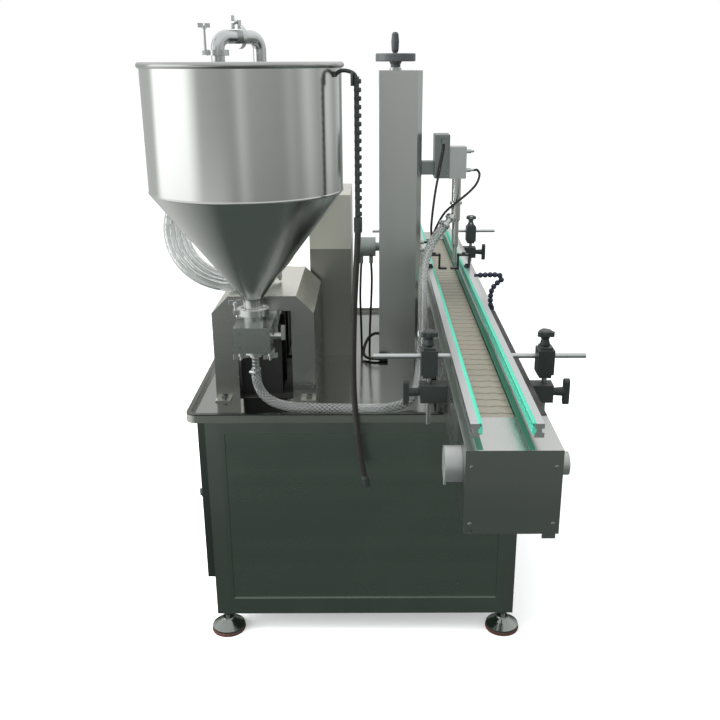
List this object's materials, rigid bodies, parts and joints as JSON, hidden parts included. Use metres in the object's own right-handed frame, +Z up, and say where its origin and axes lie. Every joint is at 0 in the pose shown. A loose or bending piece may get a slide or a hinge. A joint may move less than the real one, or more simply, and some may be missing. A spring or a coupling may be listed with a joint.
{
  "type": "piston liquid filler",
  "caption": "Semi-automatic piston filler: open hopper, valve and metering pump on a steel cabinet, with a lifting shut-off nozzle over a flat-top conveyor with guide rails.",
  "frame": {"origin": "on the floor, under the middle of the machine's box, hoses and cables left out", "axes": "+Z up, +Y along the conveyor away from the operator's front, +X to the right seen from the front"},
  "size_m": [1.0606, 2.206, 1.663],
  "materials": {
    "steel": "brushed stainless steel",
    "cabinet_steel": "polished stainless sheet with dark reflections",
    "bright_steel": "turned and polished stainless steel",
    "aluminium": "anodised aluminium",
    "black_plastic": "moulded black plastic",
    "green_plastic": "green sliding plastic",
    "slat_plastic": "beige chain plastic",
    "clear_hose": "clear flexible hose",
    "foot_rubber": "dark red-brown rubber",
    "seal_rubber": "black seal rubber",
    "red_plastic": "red push button",
    "blue_plastic": "dark blue jointed hose"
  },
  "bodies": {
    "machine": {"base_frame": "cabinet_steel", "cabinet_panels": "cabinet_steel", "door_hinges": "steel", "table_top": "steel", "electrics_plate": "steel", "levelling_feet": "steel", "foot_pads": "foot_rubber", "tunnel_cover": "steel", "pump_cradle": "steel", "metering_cylinder": "steel", "drive_cylinder": "aluminium", "valve_body": "steel", "outlet_fitting": "bright_steel", "pipe_clamps": "bright_steel", "hopper": "steel", "infeed_bend": "bright_steel", "control_box": "steel", "lift_column": "steel", "column_cap": "steel", "guide_rods": "bright_steel", "conveyor_frame": "steel", "end_boxes": "cabinet_steel", "conveyor_chain": "slat_plastic", "wear_strips": "green_plastic", "shaft_bearings": "aluminium", "gearmotor": "aluminium", "screws": "bright_steel", "rail_brackets": "black_plastic", "product_hose": "clear_hose", "infeed_hose": "clear_hose", "sensor_cable": "black_plastic", "air_tubes": "black_plastic", "regulator_tubes": "black_plastic", "air_regulator": "aluminium", "blow_hose": "blue_plastic"},
    "door": {"side_door": "cabinet_steel"},
    "latch": {"door_latch": "bright_steel"},
    "piston": {"piston": "bright_steel", "piston_seals": "seal_rubber"},
    "valve_plug": {"valve_rotor": "bright_steel"},
    "screw": {"lead_screw": "bright_steel", "handwheel": "aluminium"},
    "grip": {"wheel_grip": "bright_steel"},
    "head": {"lift_carriage": "steel", "nozzle_cylinder": "aluminium", "nozzle_body": "bright_steel"},
    "plunger": {"nozzle_plunger": "bright_steel"},
    "drive": {"drive_shaft": "bright_steel"},
    "idler": {"idler_shaft": "bright_steel"},
    "left_posts": {"supports_left": "black_plastic"},
    "left_rail": {"rail_left": "aluminium", "insert_left": "green_plastic"},
    "right_posts": {"supports_right": "black_plastic"},
    "right_rail": {"rail_right": "aluminium", "insert_right": "green_plastic"},
    "left_top_knob": {"knob_top_left": "black_plastic"},
    "right_top_knob": {"knob_top_right": "black_plastic"},
    "left_side_knob": {"knob_side_left": "black_plastic"},
    "right_side_knob": {"knob_side_right": "black_plastic"},
    "stop_button": {"e_stop": "red_plastic"}
  },
  "joints": [
    {"name": "door_swing", "type": "hinge", "parent": "machine", "child": "door", "pos_m": [-0.433, 0.4475, 0.418], "axis": [0, 0, -1], "range_deg": [0, 100]},
    {"name": "latch_turn", "type": "hinge", "parent": "door", "child": "latch", "pos_m": [-0.445, -0.4, 0.418], "axis": [1, 0, 0], "range_deg": [0, 90]},
    {"name": "piston_stroke", "type": "slide", "parent": "machine", "child": "piston", "axis": [0, 1, 0], "range_m": [0, 0.1]},
    {"name": "valve_turn", "type": "hinge", "parent": "machine", "child": "valve_plug", "pos_m": [-0.28, -0.44, 0.886], "axis": [1, 0, 0], "range_deg": [-90, 0]},
    {"name": "wheel_turn", "type": "hinge", "parent": "machine", "child": "screw", "pos_m": [0.092, 0.05, 1.566], "axis": [0, 0, 1], "range_deg": [-1080, 5400]},
    {"name": "head_lift", "type": "slide", "parent": "machine", "child": "head", "axis": [0, 0, 1], "range_m": [-0.03, 0.15], "deforming": ["product_hose", "air_tubes"]},
    {"name": "grip_spin", "type": "hinge", "parent": "screw", "child": "grip", "pos_m": [0.092, 0.101, 1.604], "axis": [0, 0, 1], "continuous": true},
    {"name": "nozzle_shutoff", "type": "slide", "parent": "head", "child": "plunger", "axis": [0, 0, 1], "range_m": [0, 0.012]},
    {"name": "drive_spin", "type": "hinge", "parent": "machine", "child": "drive", "pos_m": [0.26, -1.025, 0.804], "axis": [1, 0, 0], "continuous": true},
    {"name": "idler_spin", "type": "hinge", "parent": "machine", "child": "idler", "pos_m": [0.26, 1.025, 0.804], "axis": [1, 0, 0], "continuous": true},
    {"name": "left_height", "type": "slide", "parent": "machine", "child": "left_posts", "axis": [0, 0, 1], "range_m": [-0.015, 0.04]},
    {"name": "right_height", "type": "slide", "parent": "machine", "child": "right_posts", "axis": [0, 0, 1], "range_m": [-0.015, 0.04]},
    {"name": "left_reach", "type": "slide", "parent": "left_posts", "child": "left_rail", "axis": [1, 0, 0], "range_m": [-0.015, 0.012]},
    {"name": "right_reach", "type": "slide", "parent": "right_posts", "child": "right_rail", "axis": [1, 0, 0], "range_m": [-0.012, 0.015]},
    {"name": "left_top_knob_turn", "type": "hinge", "parent": "left_posts", "child": "left_top_knob", "pos_m": [0.154, -0.661, 0.95], "axis": [0, 0, 1], "continuous": true},
    {"name": "right_top_knob_turn", "type": "hinge", "parent": "right_posts", "child": "right_top_knob", "pos_m": [0.422, -0.661, 0.95], "axis": [0, 0, 1], "continuous": true},
    {"name": "left_side_knob_turn", "type": "hinge", "parent": "machine", "child": "left_side_knob", "pos_m": [0.11, -0.677, 0.821], "axis": [1, 0, 0], "continuous": true},
    {"name": "right_side_knob_turn", "type": "hinge", "parent": "machine", "child": "right_side_knob", "pos_m": [0.47, -0.677, 0.821], "axis": [1, 0, 0], "continuous": true},
    {"name": "stop_press", "type": "slide", "parent": "machine", "child": "stop_button", "axis": [1, 0, 0], "range_m": [0, 0.005], "stiffness_N_per_m": 1500, "springref_m": -0.002}
  ],
  "couplings": [
    {"joint": "wheel_turn", "follows": "head_lift", "rad_per_m": 628.32},
    {"joint": "idler_spin", "follows": "drive_spin", "ratio": 1}
  ]
}
